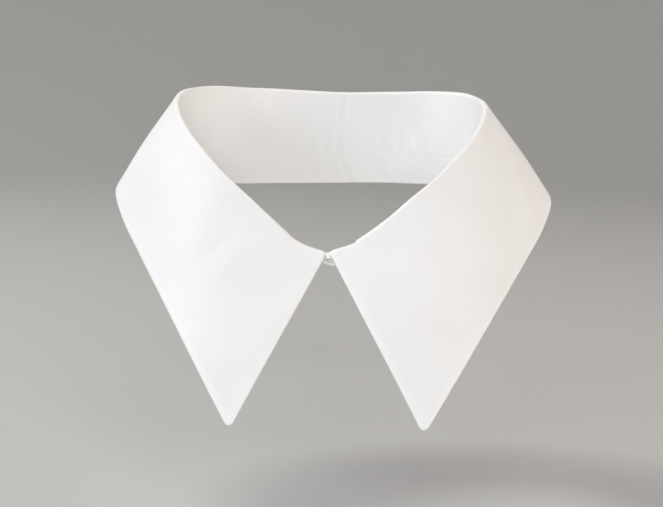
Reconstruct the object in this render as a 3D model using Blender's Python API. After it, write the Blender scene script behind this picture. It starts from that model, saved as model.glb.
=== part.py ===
"""Sew-on shirt collar with long points, in the form it keeps round a neck.

The cloth runs from the neckband seam up the inside of the stand, over the fold and down the fall
to the points.  Every cloth piece is laid out from one section table, with a row for each station
from the centre back to the centre front.  The left side reads the same rows, turned over.

Axes: +X to the right of someone facing the collar, +Y to the back of the neck, +Z up.
The origin is the middle of the neck opening, level with the neck edge at the centre back.
"""

import math
from collections import namedtuple

import bpy
import numpy as np

# Driving sizes, in millimetres
MM = 0.001
WALL = 1.0  # one cloth leaf with its interfacing
SEAM_GAP = 0.3  # air between neighbouring pieces
ROLL_BACK = 3.0  # outer radius of the rolled fold at the centre back
ROLL_FRONT = 2.6  # and at the centre front
STAND_LEAN = 1.5  # how much wider the neck edge is than the fold
UNDER_INSET = 0.5  # the under collar stops this far inside the outer leaf's edge
TIP_RADIUS = 2.2  # rounding of the two points
TIP_ANGLE = 57.0  # degrees, between the front edge and the hem at a point
BAND_BACK = 12.0  # height of the neckband at the centre back
BAND_FRONT = 1.9  # height of the neckband under the fold at the centre front
BAND_FULLNESS = 0.75  # power of the band's taper; under 1 keeps the band tall for longer
TONGUE_END = 3.0  # how far right of the middle the band's left end runs, under the right wing
WIRE_RADIUS = 0.2  # hook and eye
HOOK_HEIGHT = 1.6  # of the hook over the neck edge

# The way this collar has settled, off from even
FOLD_DRIFT = -0.9  # the fold leans to the left
HEM_DRIFT = 1.0  # the hem swings to the right
DRIFT_LOSS = 0.5  # share of both drifts that is gone at the centre front
NECK_TILT = 0.012  # rise of the neck edge for each millimetre to the right

# One row for each tenth of the way from the centre back to the centre front.
# fold is the top of the rolled fold, neck_z the height of the neck edge under it,
# hem the free edge of the fall, bow how far the fall swells out between fold and hem.
Section = namedtuple("Section", "fold_x fold_y fold_z neck_z hem_x hem_y hem_z bow")
SECTIONS = (
    Section(0.0, 57.0, 38.3, 0.0, 0.0, 78.0, -1.0, 1.2),
    Section(27.0, 53.4, 39.4, 0.3, 37.5, 72.5, -0.3, 1.2),
    Section(46.0, 42.8, 41.0, 1.0, 67.0, 56.5, 0.8, 1.0),
    Section(57.0, 25.8, 41.5, 1.8, 83.5, 31.0, 2.2, 0.8),
    Section(60.6, 4.0, 40.3, 1.5, 88.3, 4.0, 2.4, 0.6),
    Section(58.7, -13.0, 35.8, -0.5, 84.0, -15.5, -6.0, 0.8),
    Section(51.7, -28.5, 27.7, -4.0, 75.8, -34.0, -16.3, 1.0),
    Section(40.8, -41.5, 17.4, -8.5, 67.0, -50.0, -27.6, 1.4),
    Section(28.0, -50.0, 5.5, -12.0, 57.4, -65.5, -40.5, 1.6),
    Section(13.8, -55.0, -5.4, -14.4, 47.0, -78.0, -56.0, 1.4),
    Section(1.4, -57.0, -10.8, -15.9, 36.0, -87.0, -73.5, 1.0),
)
LAST = len(SECTIONS) - 1

NOTCH_MIDDLE = FOLD_DRIFT * (1.0 - DRIFT_LOSS)  # where the two fold ends meet

# The band's top edge in the notch between the two fold ends: across from the middle, and up.
NOTCH = ((0.6, 0.4), (0.2, 2.4), (-0.2, 2.4), (-0.6, 0.4))

# Routes of the wires from the middle of the closure: right, back, up.
EYE_ROUTE = (
    (-2.1, 0.0, 0.7),
    (0.2, 0.0, 0.7),
    (0.8, 0.0, 0.35),
    (0.95, 0.0, 0.0),
    (0.8, 0.0, -0.35),
    (0.2, 0.0, -0.7),
    (-2.1, 0.0, -0.7),
)
HOOK_ROUTE = (
    (2.1, 0.0, 0.0),
    (1.7, -0.4, 0.0),
    (1.1, -0.72, 0.0),
    (0.2, -0.72, 0.0),
    (-0.3, -0.5, 0.0),
    (-0.35, -0.1, 0.0),
    (-0.1, 0.08, 0.0),
)
UP = np.array((0.0, 0.0, 1.0))

# How many steps the surfaces are cut into
STATION_STEPS = 30  # on each half, from the back to the front
TIP_STATIONS = (0.985, 0.992, 0.997)  # extra stations that follow a rounded point
STAND_STEPS = 3
ROLL_STEPS = 6
FALL_STEPS = 7
WIRE_POINTS = 5  # between two points of a wire's route
LOOK_AHEAD = 0.004  # of a station, to find the direction of the fold
TURN_ROUNDS = 6  # tries that bring the end of the roll into line with the fall
SWELL_SCALE = 16.0  # makes the swell of the fall reach its bow halfway down
CLOSEST = 0.005  # a station nearer than this to the band's right end is left out
SHARP_DEGREES = 40.0  # edges sharper than this aren't shaded smooth

CLOTH = (0.92, 0.915, 0.90, 1.0)
METAL = (0.62, 0.60, 0.56, 1.0)


def unit(vector):
    """The vector at length one."""
    return vector / np.linalg.norm(vector)


def unit_rows(vectors):
    """Each row of an array at length one."""
    return vectors / np.linalg.norm(vectors, axis=1, keepdims=True)


def clear_scene():
    """Removes whatever the scene starts with."""
    for old in list(bpy.data.objects):
        bpy.data.objects.remove(old, do_unlink=True)


def material(name, colour, roughness, metallic):
    """A plain surface of one colour."""
    made = bpy.data.materials.new(name)
    made.use_nodes = True
    shader = made.node_tree.nodes["Principled BSDF"]
    shader.inputs["Base Color"].default_value = colour
    shader.inputs["Roughness"].default_value = roughness
    shader.inputs["Metallic"].default_value = metallic
    return made


def smooth_step(before, start, end, after, part):
    """The smooth curve from start to end, at a share of the way between them."""
    leave = (end - before) / 2.0
    arrive = (after - start) / 2.0
    return (
        (2 * part**3 - 3 * part**2 + 1) * start
        + (part**3 - 2 * part**2 + part) * leave
        + (3 * part**2 - 2 * part**3) * end
        + (part**3 - part**2) * arrive
    )


def row_at(index):
    """A row of the table; below 0 it is turned over for the left side, past the end it runs on."""
    if index < 0:
        row = row_at(-index)
        row[[0, 4]] *= -1.0
        return row
    if index > LAST:
        return 2.0 * np.array(SECTIONS[LAST]) - np.array(SECTIONS[LAST - 1])
    return np.array(SECTIONS[index])


def section_at(station):
    """The table read smoothly, from -1 at the left front over 0, centre back, to 1 at the right front."""
    place = station * LAST
    index = min(math.floor(place), LAST - 1)
    near = [row_at(index + step) for step in (-1, 0, 1, 2)]
    row = Section(*smooth_step(*near, place - index))
    drift = 1.0 - DRIFT_LOSS * station**4
    return row._replace(
        fold_x=row.fold_x + FOLD_DRIFT * drift,
        neck_z=row.neck_z + NECK_TILT * row.fold_x,
        hem_x=row.hem_x + HEM_DRIFT * drift,
    )


def roll_radius(station):
    """The outer radius of the rolled fold."""
    return ROLL_BACK + (ROLL_FRONT - ROLL_BACK) * abs(station)


def roll_centre(station):
    """The line that the fold rolls round."""
    row = section_at(station)
    return np.array((row.fold_x, row.fold_y, row.fold_z - roll_radius(station)))


def fold_frame(station):
    """The roll's centre, the direction along it, and across it the directions outward and up."""
    ahead = roll_centre(min(station + LOOK_AHEAD, 1.0))
    behind = roll_centre(max(station - LOOK_AHEAD, -1.0))
    along = unit(ahead - behind)
    upward = unit(UP - along[2] * along)
    return roll_centre(station), along, np.cross(upward, along), upward


def band_height(station):
    """The height of the neckband, which tapers to the front."""
    return BAND_FRONT + (BAND_BACK - BAND_FRONT) * (1.0 - station**2) ** BAND_FULLNESS


def stand_line(station):
    """The foot of the stand on its neck side, and where the stand runs into the roll."""
    centre, _, outward, _ = fold_frame(station)
    top = centre - roll_radius(station) * outward
    foot = np.array((top[0], top[1], section_at(station).neck_z))
    return foot + STAND_LEAN * (1.0 - station**4) * outward, top


def hem_point(station):
    """The free edge of the fall, as if the points were sharp."""
    row = section_at(station)
    return np.array((row.hem_x, row.hem_y, row.hem_z))


def tip_trim(station):
    """How much of the fall's length a point's rounding takes at this station."""
    corner = hem_point(math.copysign(1.0, station))
    gap = np.linalg.norm(hem_point(station) - corner)
    angle = math.radians(TIP_ANGLE)
    short = gap - TIP_RADIUS / math.tan(angle / 2.0)
    if short >= 0.0:
        return 0.0
    slope = short * math.cos(angle) - TIP_RADIUS * math.sin(angle)
    return -slope - math.sqrt(max(slope**2 - short**2, 0.0))


def profile(station):
    """The face of the cloth at one station, from the band seam over the fold to the hem."""
    centre, along, outward, upward = fold_frame(station)
    radius = roll_radius(station)
    foot, top = stand_line(station)
    start = foot + (band_height(station) + SEAM_GAP) * unit(top - foot)
    points = [start + (top - start) * step / STAND_STEPS for step in range(STAND_STEPS)]
    hem = hem_point(station)
    face = outward
    for _ in range(TURN_ROUNDS):
        fall = unit(hem - centre - radius * face)
        face = unit(np.cross(along, fall))
    turn = math.pi - math.atan2(face @ upward, face @ outward)
    for step in range(ROLL_STEPS):
        angle = math.pi - turn * step / ROLL_STEPS
        points.append(centre + radius * (math.cos(angle) * outward + math.sin(angle) * upward))
    leave = centre + radius * face
    end = hem - tip_trim(station) * fall
    bow = section_at(station).bow
    for step in range(FALL_STEPS + 1):
        share = step / FALL_STEPS
        swell = SWELL_SCALE * bow * share**2 * (1.0 - share) ** 2
        points.append(leave + (end - leave) * share + swell * face)
    return np.array(points)


def half_stations():
    """Stations from the centre back to the right front, closer together at the rounded point."""
    plain = [step / STATION_STEPS for step in range(STATION_STEPS)]
    return plain + list(TIP_STATIONS) + [1.0]


def turned(stations):
    """The same stations on the left side, still in order from left to right."""
    return [-station for station in reversed(stations)]


def grid_normals(grid):
    """Directions out of the visible face of a grid of points."""
    along = np.gradient(grid, axis=0)
    across = np.gradient(grid, axis=1)
    normals = np.cross(along, across)
    return normals / np.linalg.norm(normals, axis=2, keepdims=True)


def mesh_object(name, points, faces, surface):
    """An object made of these points and faces, shaded smooth but for its sharp edges."""
    mesh = bpy.data.meshes.new(name)
    mesh.from_pydata([tuple(point * MM) for point in points], [], faces)
    mesh.validate()
    mesh.materials.append(surface)
    mesh.shade_smooth()
    mesh.set_sharp_from_angle(angle=math.radians(SHARP_DEGREES))
    made = bpy.data.objects.new(name, mesh)
    bpy.context.scene.collection.objects.link(made)
    return made


def sheet_object(name, front, back, surface):
    """A closed wall between two grids of points: front is the visible face."""
    rows, columns = front.shape[:2]
    half = rows * columns
    faces = []
    for row in range(rows - 1):
        for column in range(columns - 1):
            first = row * columns + column
            quad = [first, first + columns, first + columns + 1, first + 1]
            faces.append(quad)
            faces.append([index + half for index in reversed(quad)])
    top_row = list(range(columns))
    bottom_row = [index + half - columns for index in top_row]
    first_column = list(range(0, half, columns))
    last_column = [index + columns - 1 for index in first_column]
    rim = first_column[:-1] + bottom_row[:-1] + last_column[:0:-1] + top_row[:0:-1]
    for start, end in zip(rim, rim[1:] + rim[:1]):
        faces.append([end, start, start + half, end + half])
    points = np.concatenate((front.reshape(-1, 3), back.reshape(-1, 3)))
    return mesh_object(name, points, faces, surface)


def upper_collar(cloth):
    """The outer leaf: inside of the stand, fold and outside of the fall, in one piece."""
    right = half_stations()
    face = np.array([profile(station) for station in turned(right)[:-1] + right])
    sheet_object("upper_collar", face, face - WALL * grid_normals(face), cloth)


def inset_edges(face, front):
    """The grid drawn in at the hem and the front edge, as the under layer of a turned seam is."""
    drawn = face.copy()
    drawn[:, -1] += UNDER_INSET * unit_rows(face[:, -2] - face[:, -1])
    reach = len(TIP_STATIONS) + 1
    inner = reach if front == 0 else front - reach
    sideways = unit_rows(face[inner] - face[front])
    drawn[front, STAND_STEPS:] += UNDER_INSET * sideways[STAND_STEPS:]
    return drawn


def under_collar(name, right_side, cloth):
    """One half of the under collar, beneath the outer leaf and seamed at the centre back."""
    stations = half_stations()
    stations[0] = SEAM_GAP / 2.0 / (SECTIONS[1].fold_x * LAST)
    if not right_side:
        stations = turned(stations)
    face = np.array([profile(station) for station in stations])
    drawn = inset_edges(face, -1 if right_side else 0)
    normals = grid_normals(face)
    depth = WALL + SEAM_GAP
    sheet_object(name, drawn - depth * normals, drawn - (depth + WALL) * normals, cloth)


def band_section(station):
    """The strip's four corners: foot and head on the neck side, then on the outer side."""
    foot, top = stand_line(station)
    outward = fold_frame(station)[2]
    head = foot + band_height(station) * unit(top - foot)
    depth = (2.0 * WALL + SEAM_GAP) * outward
    return np.array((foot, head, foot + depth, head + depth))


def tongue(last):
    """The left end of the strip carried on: it fills the notch, then runs under the right wing."""
    places = [(TONGUE_END, 0.0)] + [(NOTCH_MIDDLE + aside, rise) for aside, rise in NOTCH]
    sections = []
    for place, rise in places:
        moved = last + np.array((place - last[0, 0], 0.0, 0.0))
        moved[[1, 3], 2] += rise
        sections.append(moved)
    return sections


def neckband(cloth):
    """The strip along the neck edge, in one piece from the end of its tongue to its right end."""
    right = half_stations()
    per_station = (SECTIONS[-2].fold_x - SECTIONS[-1].fold_x) * LAST
    run = TONGUE_END + SEAM_GAP - SECTIONS[-1].fold_x - NOTCH_MIDDLE
    end = 1.0 - run / per_station
    stations = turned(right)[:-1] + [station for station in right if station < end - CLOSEST] + [end]
    sections = [band_section(station) for station in stations]
    corners = np.array(tongue(sections[0]) + sections)
    sheet_object("neckband", corners[:, :2], corners[:, 2:], cloth)


def wire(name, route, metal):
    """A round wire through the points of its route, with closed ends."""
    ends = [2.0 * route[0] - route[1]] + route + [2.0 * route[-1] - route[-2]]
    points = []
    for near in zip(ends, ends[1:], ends[2:], ends[3:]):
        points += [smooth_step(*near, step / WIRE_POINTS) for step in range(WIRE_POINTS)]
    points.append(route[-1])
    curve = bpy.data.curves.new(name, "CURVE")
    curve.dimensions = "3D"
    curve.bevel_depth = WIRE_RADIUS * MM
    curve.bevel_resolution = 2
    curve.use_fill_caps = True
    spline = curve.splines.new("POLY")
    spline.points.add(len(points) - 1)
    for place, point in zip(spline.points, points):
        place.co = (*(point * MM), 1.0)
    curve.materials.append(metal)
    bpy.context.scene.collection.objects.link(bpy.data.objects.new(name, curve))


def closure(metal):
    """A hook on the right end and an eye on the left, fastened in front of the band."""
    front = section_at(1.0)
    face_y = front.fold_y + ROLL_FRONT - 2.0 * WALL - SEAM_GAP
    middle = np.array((NOTCH_MIDDLE, face_y - SEAM_GAP - WIRE_RADIUS, front.neck_z + HOOK_HEIGHT))
    for name, table in (("eye", EYE_ROUTE), ("hook", HOOK_ROUTE)):
        wire(name, [middle + np.array(point) for point in table], metal)


def main():
    """Makes the collar, from the outer leaf inwards."""
    clear_scene()
    cloth = material("white_cotton", CLOTH, 0.85, 0.0)
    metal = material("nickel_wire", METAL, 0.35, 1.0)
    upper_collar(cloth)
    under_collar("under_collar_left", False, cloth)
    under_collar("under_collar_right", True, cloth)
    neckband(cloth)
    closure(metal)


main()
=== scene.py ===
"""The looks of the sew-on shirt collar: fine cloth shells, turned edges, puckers, thread and wire.

Lengths are in millimetres until a mesh is made.  A place on the cloth is given by how far it lies
along the fold from the centre back, to the right of someone facing the collar, and by how far it
lies across the cloth: up the stand from the neck edge, over the fold and down the fall.

Axes: +X to the right of someone facing the collar, +Y to the back of the neck, +Z up.
"""

import logging
import math
from dataclasses import dataclass
from enum import Enum
from typing import NamedTuple, Sequence

import bpy
import numpy as np
from mathutils import Matrix, Vector

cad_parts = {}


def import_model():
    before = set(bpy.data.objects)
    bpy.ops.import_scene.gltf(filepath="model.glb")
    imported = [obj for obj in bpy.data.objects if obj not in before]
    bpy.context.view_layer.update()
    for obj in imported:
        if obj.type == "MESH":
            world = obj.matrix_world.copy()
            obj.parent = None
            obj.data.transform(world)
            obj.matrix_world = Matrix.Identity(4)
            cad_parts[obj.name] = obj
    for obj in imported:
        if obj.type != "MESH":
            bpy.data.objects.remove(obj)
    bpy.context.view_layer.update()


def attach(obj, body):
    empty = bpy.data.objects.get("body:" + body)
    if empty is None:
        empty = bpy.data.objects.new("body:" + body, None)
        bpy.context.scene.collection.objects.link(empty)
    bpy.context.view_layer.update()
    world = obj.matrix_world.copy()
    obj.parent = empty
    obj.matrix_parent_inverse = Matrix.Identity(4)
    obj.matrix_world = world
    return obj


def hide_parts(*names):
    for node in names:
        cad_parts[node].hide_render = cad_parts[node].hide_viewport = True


Colour = tuple[float, float, float, float]
Place = tuple[float, float, float]
Socket = bpy.types.NodeSocket

MM = 0.001
UP = np.array((0.0, 0.0, 1.0))
PHOTO_WIDTH = 663
SHARP_DEGREES = 50.0
WEAVE_MAP = "weave"
# edges are whitened: partly the seam allowance behind the thin cloth, partly a painted highlight along
# the rounded edge
EDGE_WHITE_HIGHLIGHT_ATTRIBUTE = "edge_white_and_painted_highlight"
# painted shading: the cloth is darker in the troughs of creases and lighter on their ridges
CREASE_SHADING_ATTRIBUTE = "painted_crease_shading"
MIX_COLOURS = (6, 7)  # the mix node's colour inputs
MIX_RESULT = 2  # its colour output
CREASE_FADE = 0.7  # below 1, a crease keeps its height nearer to its ends
TINY = 1e-12  # keeps a division by a length of 0 harmless
HALF = 0.5
log = logging.getLogger("collar")


class Side(Enum):
    """Which half of the collar, for someone facing it."""

    LEFT = -1
    RIGHT = 1


class Section(NamedTuple):
    """One station of the collar: the top of the fold, the neck edge, the hem and the swell."""

    fold_x: float
    fold_y: float
    fold_z: float
    neck_z: float
    hem_x: float
    hem_y: float
    hem_z: float
    bow: float


class Crease(NamedTuple):
    """A soft ridge, or a trough where the height is negative, pressed into the cloth."""

    along: float  # at its lower end
    low: float  # across the cloth
    high: float
    lean: float  # how far along its upper end lies from its lower end
    width: float
    height: float


class Wave(NamedTuple):
    """A broad and very shallow wave over the cloth."""

    length: float  # along the cloth
    breadth: float  # across it
    phase: float
    height: float


class Press(NamedTuple):
    """How far pressing moves the two sides of the fold at a station."""

    station: float  # from the centre back
    inside: float  # the neck side, outwards
    outside: float  # the outer side, inwards


class Sag(NamedTuple):
    """How far the left half of the fold sags at a station."""

    station: float  # from the centre back
    drop: float


SECTIONS: tuple[Section, ...] = (
    Section(0.0, 57.0, 38.3, 0.0, 0.0, 78.0, -1.0, 1.2),
    Section(27.0, 53.4, 39.4, 0.3, 37.5, 72.5, -0.3, 1.2),
    Section(46.0, 42.8, 41.0, 1.0, 67.0, 56.5, 0.8, 1.0),
    Section(57.0, 25.8, 41.5, 1.8, 83.5, 31.0, 2.2, 0.8),
    Section(60.6, 4.0, 40.3, 1.5, 88.3, 4.0, 2.4, 0.6),
    Section(58.7, -13.0, 35.8, -0.5, 84.0, -15.5, -6.0, 0.8),
    Section(51.7, -28.5, 27.7, -4.0, 75.8, -34.0, -16.3, 1.0),
    Section(40.8, -41.5, 17.4, -8.5, 67.0, -50.0, -27.6, 1.4),
    Section(28.0, -50.0, 5.5, -12.0, 57.4, -65.5, -40.5, 1.6),
    Section(13.8, -55.0, -5.4, -14.4, 47.0, -78.0, -56.0, 1.4),
    Section(1.4, -57.0, -10.8, -15.9, 36.0, -87.0, -73.5, 1.0),
)
LAST = len(SECTIONS) - 1
SIDEWAYS = [Section._fields.index(name) for name in ("fold_x", "hem_x")]

# On the inside of the stand, above the band seam: the pressed centre, its puckers, then the ends
STAND_CREASES: tuple[Crease, ...] = (
    Crease(3.0, 25.5, 37.0, 0.3, 0.9, 0.51),
    Crease(5.8, 26.0, 36.5, 0.0, 1.2, -0.34),
    Crease(8.2, 25.0, 37.5, -0.4, 1.0, 0.44),
    Crease(-0.9, 27.0, 35.0, 0.0, 0.9, -0.20),
    Crease(2.1, 12.0, 21.5, 0.6, 1.0, 0.71),
    Crease(-0.7, 12.0, 20.0, 0.2, 0.9, -0.34),
    Crease(6.4, 11.0, 18.0, -1.8, 0.9, -0.61),
    Crease(-3.2, 12.0, 19.0, -0.6, 1.0, 0.27),
    Crease(-6.0, 12.0, 18.0, -0.5, 1.3, -0.27),
    Crease(-12.5, 12.0, 22.0, 0.8, 2.6, 0.37),
    Crease(20.6, 12.0, 22.0, -1.2, 1.1, 0.41),
    Crease(24.6, 12.0, 21.0, -1.6, 1.0, -0.44),
    Crease(28.0, 12.0, 20.0, -1.0, 0.9, 0.31),
    Crease(31.2, 12.0, 22.0, -0.7, 1.1, -0.41),
    Crease(36.4, 12.0, 21.0, -0.3, 1.0, 0.51),
    Crease(40.0, 12.0, 19.0, 0.2, 0.9, -0.27),
    Crease(45.0, 12.0, 20.0, 0.2, 1.0, 0.31),
    Crease(-35.0, 28.0, 37.0, 0.3, 0.9, 0.31),
    Crease(-28.2, 29.0, 36.0, 0.8, 1.3, 0.31),
    Crease(-20.0, 27.0, 36.0, 0.6, 1.2, 0.20),
    Crease(19.0, 27.0, 37.0, 0.4, 1.1, 0.27),
    Crease(32.4, 27.5, 36.5, 1.2, 1.1, 0.24),
    Crease(42.3, 28.5, 37.0, 1.6, 1.2, 0.27),
    Crease(49.0, 29.0, 37.0, 1.6, 1.0, -0.24),
    Crease(-62.0, 13.0, 24.0, 2.6, 2.0, -0.30),
    Crease(70.0, 12.0, 22.0, -2.8, 1.8, 0.30),
    Crease(-96.0, 10.0, 20.0, 2.0, 1.6, 0.26),
    Crease(104.0, 9.0, 19.0, -2.0, 1.8, -0.26),
)
# On the neck side of the band
BAND_CREASES: tuple[Crease, ...] = (
    Crease(-2.6, 0.5, 10.5, -2.6, 0.9, 0.52),
    Crease(-5.4, 1.0, 9.0, -2.0, 1.1, -0.40),
    Crease(2.6, 1.0, 10.0, -1.0, 0.9, -0.28),
    Crease(4.7, 1.0, 11.5, -1.0, 0.9, 0.36),
    Crease(6.8, 1.0, 10.0, -1.0, 0.8, -0.32),
    Crease(10.6, 0.5, 11.5, -1.8, 1.0, 0.68),
    Crease(17.4, 1.0, 11.0, -1.6, 1.6, 0.48),
    Crease(22.5, 1.5, 10.5, -1.0, 1.8, -0.48),
    Crease(33.0, 2.0, 11.0, -0.5, 2.0, 0.20),
    Crease(-9.0, 2.0, 11.0, 0.5, 2.0, 0.20),
    Crease(-58.0, 2.0, 9.0, 1.4, 1.6, 0.24),
    Crease(66.0, 1.5, 9.0, -1.4, 1.6, -0.24),
)
# On the outside of the fall: the pressed centre at the back, then the pull towards the closure
FALL_CREASES: tuple[Crease, ...] = (
    Crease(0.6, 48.0, 74.0, 0.5, 1.6, 0.20),
    Crease(5.2, 47.0, 68.0, -0.6, 1.5, -0.16),
    Crease(-19.0, 54.0, 80.0, -4.0, 3.0, -0.18),
    Crease(27.0, 50.0, 82.0, 5.0, 3.4, 0.18),
    Crease(-58.0, 52.0, 84.0, -5.0, 4.0, 0.22),
    Crease(66.0, 50.0, 80.0, 4.0, 3.6, -0.20),
    Crease(-102.0, 48.0, 82.0, -3.0, 4.5, -0.20),
    Crease(110.0, 46.0, 84.0, 4.0, 4.2, 0.20),
    Crease(-168.0, 26.0, 60.0, 9.0, 2.6, -0.26),
    Crease(-176.0, 22.0, 50.0, 6.0, 2.0, 0.20),
    Crease(172.0, 24.0, 58.0, -9.0, 2.4, -0.22),
    Crease(178.0, 22.0, 44.0, -4.0, 1.8, 0.16),
    Crease(-186.5, 3.5, 15.0, 0.4, 1.8, -0.12),
    Crease(-182.5, 4.0, 17.0, 0.8, 2.2, 0.10),
)
# On the under collar, beside its centre seam and under the fall
UNDER_CREASES: tuple[Crease, ...] = (
    Crease(4.0, 52.0, 66.0, 1.5, 1.2, 0.22),
    Crease(-4.5, 58.0, 74.0, -1.2, 1.3, 0.24),
    Crease(7.5, 68.0, 82.0, 1.0, 1.4, -0.20),
    Crease(-9.0, 48.0, 60.0, -1.6, 1.6, -0.18),
    Crease(-48.0, 52.0, 78.0, -3.0, 3.0, 0.26),
    Crease(56.0, 50.0, 80.0, 4.0, 3.4, 0.26),
    Crease(-90.0, 50.0, 76.0, -4.0, 3.6, -0.26),
    Crease(98.0, 48.0, 80.0, 3.0, 3.0, -0.24),
    Crease(-150.0, 36.0, 84.0, 6.0, 4.0, 0.24),
    Crease(146.0, 38.0, 86.0, -5.0, 4.2, 0.24),
)
# The same for every piece of cloth
WAVES: tuple[Wave, ...] = (
    Wave(61.0, 93.0, 0.4, 0.10),
    Wave(37.0, -58.0, 2.1, 0.07),
    Wave(23.0, 47.0, 4.0, 0.04),
    Wave(-29.0, 34.0, 1.2, 0.035),
)


def unit(vector: np.ndarray) -> np.ndarray:
    """The vector at length one."""
    return vector / np.linalg.norm(vector)


def unit_rows(vectors: np.ndarray) -> np.ndarray:
    """Each vector of an array at length one."""
    return vectors / np.linalg.norm(vectors, axis=-1, keepdims=True)


def smooth_step(
    before: np.ndarray, start: np.ndarray, end: np.ndarray, after: np.ndarray, part: float
) -> np.ndarray:
    """The smooth curve between two points of a row of points.

    Args:
        before: the point ahead of the stretch.
        start: where the stretch starts.
        end: where it ends.
        after: the point that follows it.
        part: how far along the stretch, from 0 to 1.

    Returns:
        The point on the curve.
    """
    leave = (end - before) / 2.0
    arrive = (after - start) / 2.0
    return (
        (2 * part**3 - 3 * part**2 + 1) * start
        + (part**3 - 2 * part**2 + part) * leave
        + (3 * part**2 - 2 * part**3) * end
        + (part**3 - part**2) * arrive
    )


def ease(values: np.ndarray, low: float, high: float) -> np.ndarray:
    """Rises softly from 0 where values are low to 1 where they are high."""
    share = np.clip((values - low) / (high - low), 0.0, 1.0)
    return share * share * (3.0 - 2.0 * share)


def eased_row(rows: Sequence[tuple[float, ...]], place: float) -> list[float]:
    """The values at a place, eased between the rows of a table.

    Args:
        rows: the table, whose first column holds the places in rising order.
        place: where to read it.

    Returns:
        The values of its other columns.
    """
    start, end = next(pair for pair in zip(rows, rows[1:]) if place <= pair[1][0])
    share = float(ease(np.array(place), start[0], end[0]))
    return [low + (high - low) * share for low, high in zip(start[1:], end[1:])]


def rounding(distance: np.ndarray, radius: float, depth: float) -> np.ndarray:
    """How far a surface drops towards a rounded edge.

    Args:
        distance: of each point from the edge.
        radius: how far in the rounding starts.
        depth: the drop at the edge itself.

    Returns:
        The drop at each point.
    """
    share = np.clip(1.0 - distance / radius, 0.0, 1.0)
    return depth * (1.0 - np.sqrt(1.0 - share**2))


def smooth_route(route: Sequence[np.ndarray], steps: int) -> list[np.ndarray]:
    """A smooth line through the points of a route.

    Args:
        route: the points.
        steps: the number of steps in each stretch between two of them.

    Returns:
        The points of the smooth line.
    """
    ends = [2.0 * route[0] - route[1], *route, 2.0 * route[-1] - route[-2]]
    points: list[np.ndarray] = []
    for near in zip(ends, ends[1:], ends[2:], ends[3:]):
        points += [smooth_step(*near, step / steps) for step in range(steps)]
    points.append(route[-1])
    return points


def running_length(points: np.ndarray, axis: int) -> np.ndarray:
    """How far along its line each point lies.

    Args:
        points: a line of points, or rows and columns of them.
        axis: 0 to go from row to row, and 1 from column to column.

    Returns:
        The lengths, from 0 where each line starts.
    """
    run = np.cumsum(np.linalg.norm(np.diff(points, axis=axis), axis=-1), axis=axis)
    start = np.zeros_like(run.take([0], axis=axis))
    return np.concatenate((start, run), axis=axis)


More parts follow.
